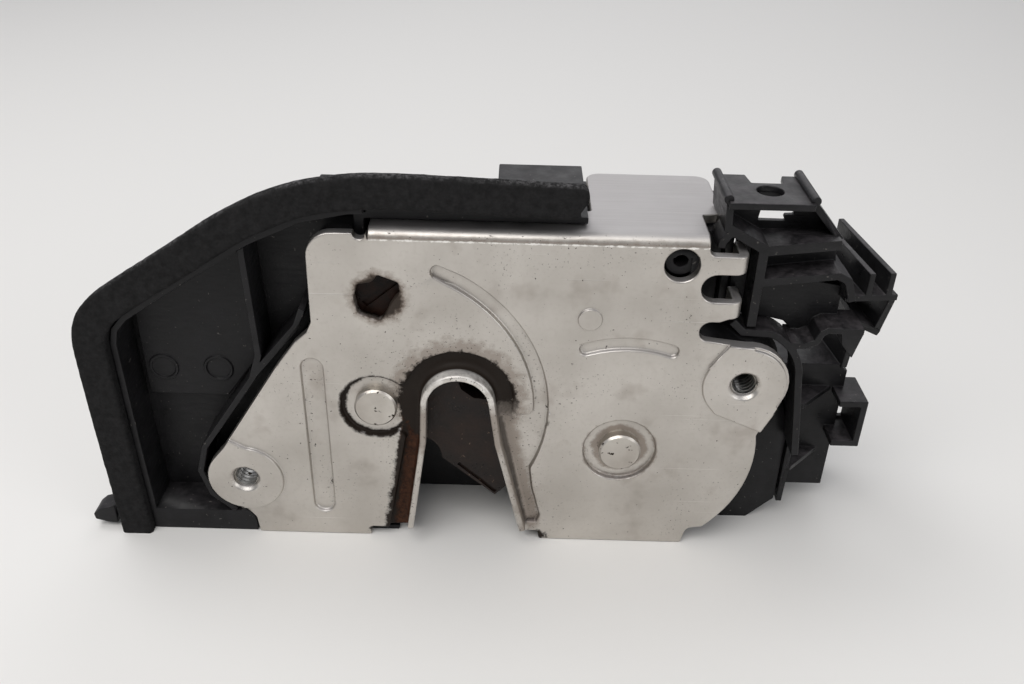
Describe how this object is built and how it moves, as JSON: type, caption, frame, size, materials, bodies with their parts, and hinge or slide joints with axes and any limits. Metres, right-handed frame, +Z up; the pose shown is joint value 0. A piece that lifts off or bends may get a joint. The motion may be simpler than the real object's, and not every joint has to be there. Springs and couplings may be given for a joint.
{
  "type": "car door lock",
  "caption": "Side door lock with a steel plate, a striker mouth and rotary catch, a black winged housing, a foam seal and a cable bracket, standing with its latch open.",
  "frame": {"origin": "centre of the latched striker, on the front face of the lock plate", "axes": "+X right along the lock plate seen from the striker's side, +Y back into the door, +Z up; the lock stands on its lower edge at z = -33.5 mm"},
  "size_m": [0.1657, 0.048, 0.0837],
  "materials": {
    "zinc_steel": "zinc plated, satin",
    "dark_steel": "oiled steel",
    "rivet_steel": "zinc plated, satin",
    "black_plastic": "glass filled, slight sheen",
    "dark_overmould": "greasy, dark",
    "pale_plastic": "natural",
    "foam": "cellular foam, worn grey edge",
    "soft_black": "matte",
    "contact_brass": "tinned brass",
    "dial_plastic": "dark, stained"
  },
  "bodies": {
    "lock_case": {"lock_plate": "zinc_steel", "catch_rivet": "rivet_steel", "pawl_rivet": "rivet_steel", "back_plate": "zinc_steel", "housing": "black_plastic", "seal_strip": "foam", "striker_bumper": "soft_black", "end_bracket": "black_plastic", "rear_cover": "black_plastic", "lever_pin": "rivet_steel", "lever_washers": "dark_steel", "lever_clip": "dark_steel", "catch_spring": "dark_steel", "pawl_spring": "dark_steel", "lock_motor": "zinc_steel", "wheel_axle": "rivet_steel", "lock_pin": "rivet_steel", "ajar_switch": "black_plastic", "lock_switch": "black_plastic", "circuit_carrier": "black_plastic", "connector_pins": "contact_brass", "cover_screws": "rivet_steel", "bracket_screws": "rivet_steel"},
    "catch": {"catch_core": "dark_steel", "catch_cover": "dark_overmould"},
    "pawl": {"pawl_core": "dark_steel", "pawl_cover": "black_plastic"},
    "release": {"release_lever": "zinc_steel"},
    "outside": {"outside_lever": "zinc_steel"},
    "inside": {"inside_lever": "zinc_steel"},
    "dial": {"child_lock_dial": "dial_plastic"},
    "drive": {"worm_wheel": "pale_plastic"},
    "worm": {"motor_worm": "pale_plastic", "motor_shaft": "dark_steel"},
    "locking": {"lock_lever": "pale_plastic"}
  },
  "joints": [
    {"name": "catch_turn", "type": "hinge", "parent": "lock_case", "child": "catch", "pos_m": [-0.0166, 0.0063, 0.0004], "axis": [0, -1, 0], "range_deg": [0, 62], "stiffness_Nm_per_rad": 0.02, "springref_deg": -8.59},
    {"name": "pawl_turn", "type": "hinge", "parent": "lock_case", "child": "pawl", "pos_m": [0.0331, 0.0063, -0.0089], "axis": [0, -1, 0], "range_deg": [0, 14]},
    {"name": "release_turn", "type": "hinge", "parent": "lock_case", "child": "release", "pos_m": [0.04, 0.018, 0.024], "axis": [0, -1, 0], "range_deg": [-9, 0.5]},
    {"name": "outside_turn", "type": "hinge", "parent": "lock_case", "child": "outside", "pos_m": [0.04, 0.018, 0.024], "axis": [0, -1, 0], "range_deg": [0, 18], "stiffness_Nm_per_rad": 0.05, "springref_deg": -5.73},
    {"name": "inside_turn", "type": "hinge", "parent": "lock_case", "child": "inside", "pos_m": [0.04, 0.018, 0.024], "axis": [0, -1, 0], "range_deg": [0, 18], "stiffness_Nm_per_rad": 0.05, "springref_deg": -5.73},
    {"name": "child_lock_turn", "type": "hinge", "parent": "lock_case", "child": "dial", "pos_m": [-0.015, 0.006, 0.0252], "axis": [0, -1, 0], "range_deg": [-90, 0]},
    {"name": "wheel_turn", "type": "hinge", "parent": "lock_case", "child": "drive", "pos_m": [0.008, 0.0255, 0.008], "axis": [0, -1, 0], "range_deg": [0, 60]},
    {"name": "lock_turn", "type": "hinge", "parent": "lock_case", "child": "locking", "pos_m": [0.03, 0.0302, 0.017], "axis": [0, -1, 0], "range_deg": [-33, 0.5]},
    {"name": "worm_turn", "type": "hinge", "parent": "lock_case", "child": "worm", "pos_m": [0.009, 0.0255, 0.0239], "axis": [1, 0, 0], "range_deg": [-5, 1810]}
  ],
  "couplings": [
    {"joint": "release_turn", "follows": "pawl_turn", "ratio": -0.61},
    {"joint": "lock_turn", "follows": "wheel_turn", "ratio": -0.53},
    {"joint": "worm_turn", "follows": "wheel_turn", "ratio": 30}
  ]
}
